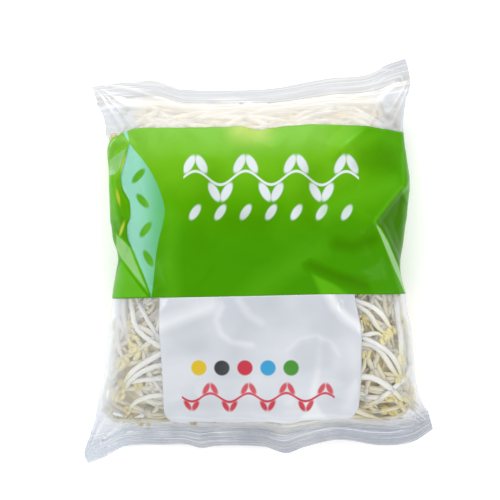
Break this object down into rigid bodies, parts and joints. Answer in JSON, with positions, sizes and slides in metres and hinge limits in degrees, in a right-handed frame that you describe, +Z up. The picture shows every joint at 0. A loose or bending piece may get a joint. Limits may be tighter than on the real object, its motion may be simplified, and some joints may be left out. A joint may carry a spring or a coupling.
{
  "type": "packet of mung bean sprouts",
  "caption": "Sealed clear film pillow packet filled with fresh mung bean sprouts, with a printed band and a printed panel, lying on its back.",
  "frame": {"origin": "on the surface the packet lies on, under the middle of its outline", "axes": "+X across the packet, +Y from its bottom seal to its top seal, +Z up out of its printed front"},
  "size_m": [0.2427, 0.2856, 0.0589],
  "materials": {
    "clear_film": "clear glossy thin film with soft creases",
    "green_ink": "glossy printed ink under film",
    "white_ink": "glossy printed ink under film",
    "sprout": "moist, waxy and slightly see-through"
  },
  "bodies": {
    "root": {"film": "clear_film", "printed_band": "green_ink", "printed_panel": "white_ink", "sprout_tangle": "sprout", "sprout_low_right": "sprout", "sprout_low_left": "sprout", "sprout_high_right": "sprout", "sprout_high_left": "sprout"}
  },
  "joints": []
}
